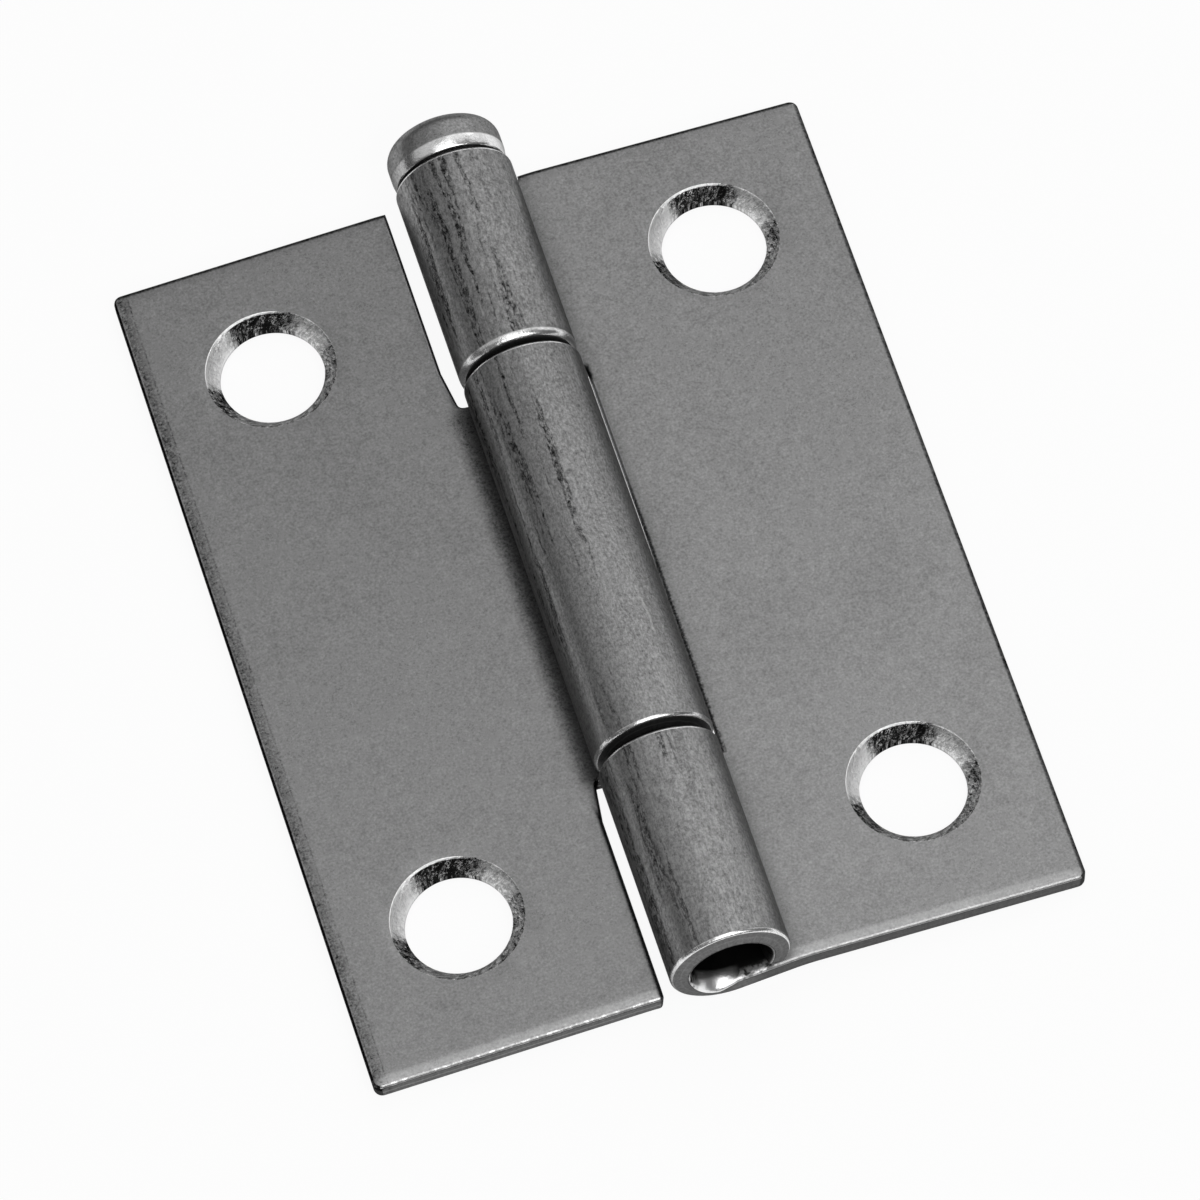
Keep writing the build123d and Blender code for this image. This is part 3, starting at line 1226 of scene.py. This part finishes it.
print("the notch beside the middle knuckle is cut at", round(notch_edge, 2), "mm of the blank")

# %% [markdown]
# ## The leaves' material
# The masks above are laid over each other here. The bore is painted dark, as painted shade inside the
# roll and on the end of the ramp that runs into it. The face attributes say which edges are sheared,
# which rims carry a painted highlight and which faces, turned away from the lamps, carry painted
# shade. The countersinks come last, as they do in the shop.

# %% Leaf material
face_roughness = 0.40
rim_roughness, mouth_roughness = 0.25, 0.3
wall_roughness, cone_roughness = 0.5, 0.28
sheen_swing = -0.25
wall_level = 0.65
# Painted highlight on rims that face the lamps.
rim_highlight_level = 2.0
# Painted highlight low in the bore's mouth.
mouth_highlight_level = 2.6
# Painted shade inside the bore.
bore_shade_level = -0.88
# Painted shade on faces turned away from the lamps.
painted_shade_level = -0.75
# Painted shade in the bend beside the barrel.
bend_shade_depth = 0.55


def leaf_steel(name, base, seed, side, border, scored):
    """Satin plated steel for one leaf, read in the flat places of its blank."""
    material = new_material(name)
    tree = material.node_tree
    blank = add_node(tree, "ShaderNodeAttribute", attribute_name="blank")["Vector"]
    wall, rubbed, darkened = (
        add_node(tree, "ShaderNodeAttribute", attribute_name=layer)["Fac"]
        for layer in ("sheared", "rubbed", "darkened")
    )
    place = stretch(blank, (1, 1, 1), seed)
    x, y, z = split(blank)
    from_end = y + half_length
    skin = use_group(tree, mottled_plating, Place=place)
    edge = use_group(tree, sheared_edge, Place=blank, Border=border)
    hole = use_group(tree, hole_place, Place=blank, Side=side)
    chatter_and_sheen = use_group(
        tree, countersink_chatter, Reach=hole["Reach"], Turn=hole["Turn"], Seed=seed[0] + 0.5
    )
    marks = use_group(tree, rolling_marks, Place=place)

    tone, height = rolled_face(x, y, marks, skin, scored)
    # Painted shade inside the bore and on the end of the ramp that runs into it.
    in_bore = fade(z, 0.4, 0.5) * fade(x, roll_begin - 2.5, roll_begin - 1.9)
    tone = blend(in_bore, tone, bore_shade_level)
    # Painted highlight low in the mouth of the bore.
    mouth = painted_mouth_highlight(x, z, from_end, place)
    tone = blend(mouth, tone, mouth_highlight_level)

    # Rims that face the lamps are painted bright as a highlight.
    rubbed = painted_rim_highlights(rubbed, x, y, z, from_end, place, side)
    tone = blend(rubbed, tone, skin["Tone"] * 3.0 + rim_highlight_level)
    tone = blend(wall, tone, edge["Tone"] * wall_level - (1 - wall_level))
    # On the right leaf, painted shade on the walls behind the barrel and on the wall at the low end.
    if side > 0:
        low_wall = fade(from_end, 0.2, 0.1) * fade(x, roll_begin, roll_begin - 2.0, 0.0, 0.45)
        darkened = most(darkened, wall * between(y, *behind_barrel_lines), wall * low_wall)
    # Painted shade on faces turned away from the lamps.
    tone = blend(darkened, tone, painted_shade_level)
    # A painted highlight on the front near the leaf's low end, where the rolled-over edge faces the front
    # lamp.
    painted_edge_highlight = between(from_end, 0.16, 0.28, 0.5, 0.75) * fade(x, roll_begin, roll_begin - 3.0)
    tone = tone + painted_edge_highlight * fade(z, 0.2, 0.4, 0.0, 0.32)
    # Painted shade along the left leaf's outer edge.
    if side < 0:
        tone = tone - painted_left_edge_shade(x, z, skin["Tone"])
    tone = blend(dark_edges(x, y, z, skin["Tone"], side), tone, skin["Tone"] + painted_shade_level)

    in_hole, cone_tone, cone_rise = countersink(hole, chatter_and_sheen, z)
    tone = blend(in_hole, tone, cone_tone)
    # Painted shade in the bend beside the barrel, on the left leaf.
    if side < 0:
        tone = tone - painted_bend_shade(x, y) * bend_shade_depth
    height = blend(in_hole, blend(wall, height, edge["Height"]), cone_rise)
    roughness = skin["Tone"] * sheen_swing + face_roughness
    roughness = blend(mouth, blend(rubbed, roughness, rim_roughness), mouth_roughness)
    roughness = blend(in_hole, blend(wall, roughness, wall_roughness), cone_roughness)
    steel_finish(base, tone, roughness, height)
    return material


middle_steel = leaf_steel("middle_leaf_steel", 0.27, (0, 0, 0), -1, 0.8, roll_begin + 10.9)
end_steel = leaf_steel("end_leaf_steel", 0.28, (40, 7, 3), 1, 0.2, roll_begin + 7.3)
middle_leaf.data.materials.append(middle_steel)
end_leaf.data.materials.append(end_steel)
print("leaf materials", middle_steel.name, end_steel.name)

# %% [markdown]
# ## The pin's material
# The pin is wire with the same dull skin. The die that pressed its head gripped it just above the
# barrel, and that band is burnished; it also carries a painted highlight, which fades out on the left.

# %% Pin material
pin_roughness, band_roughness = 0.38, 0.22
band_highlight_level = 2.2
pin_mottle = 1.8


def pin_steel(name, base, seed):
    """Steel wire, with a burnished band where the heading die drew the head in, painted bright as a
    highlight that fades towards the left.
    """
    material = new_material(name)
    tree = material.node_tree
    in_mm = stretch(add_node(tree, "ShaderNodeTexCoord")["Object"], (1 / mm, 1 / mm, 1 / mm))
    x, y, _ = split(in_mm)
    skin = use_group(tree, mottled_plating, Place=stretch(in_mm, (1, 1, 1), seed))
    band_end = pin_seat + head_undercut_height
    band = between(y, pin_seat - 0.2, pin_seat - 0.1, band_end - 0.06, band_end + 0.06)
    # The band's painted highlight fades towards the left side of the head, away from the light.
    from_left = fade(x, -head_radius, -1.2, 0.1, 1.0)
    tone = band * from_left * band_highlight_level + skin["Tone"] * pin_mottle
    roughness = blend(band, skin["Tone"] * sheen_swing + pin_roughness, band_roughness)
    steel_finish(base, tone, roughness, skin["Height"])
    return material


pin.data.materials.append(pin_steel("pin_steel", 0.27, (9, 9, 9)))
print("pin material", pin.data.materials[0].name)

# %% [markdown]
# ## Joining the frame
# Each mesh stands for one part of the frame and rides on its body, so it moves as the joints let it.

# %% Bodies and nodes
for piece, node, body, slot in (
    (middle_leaf, "middle_knuckle_leaf", "middle_leaf", "middle_leaf_steel"),
    (end_leaf, "end_knuckle_leaf", "end_leaf", "end_leaf_steel"),
    (pin, "hinge_pin", "pin", "pin_steel"),
):
    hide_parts(node)
    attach(piece, body)
    print(piece.name, "stands for", node, "and rides on", body)
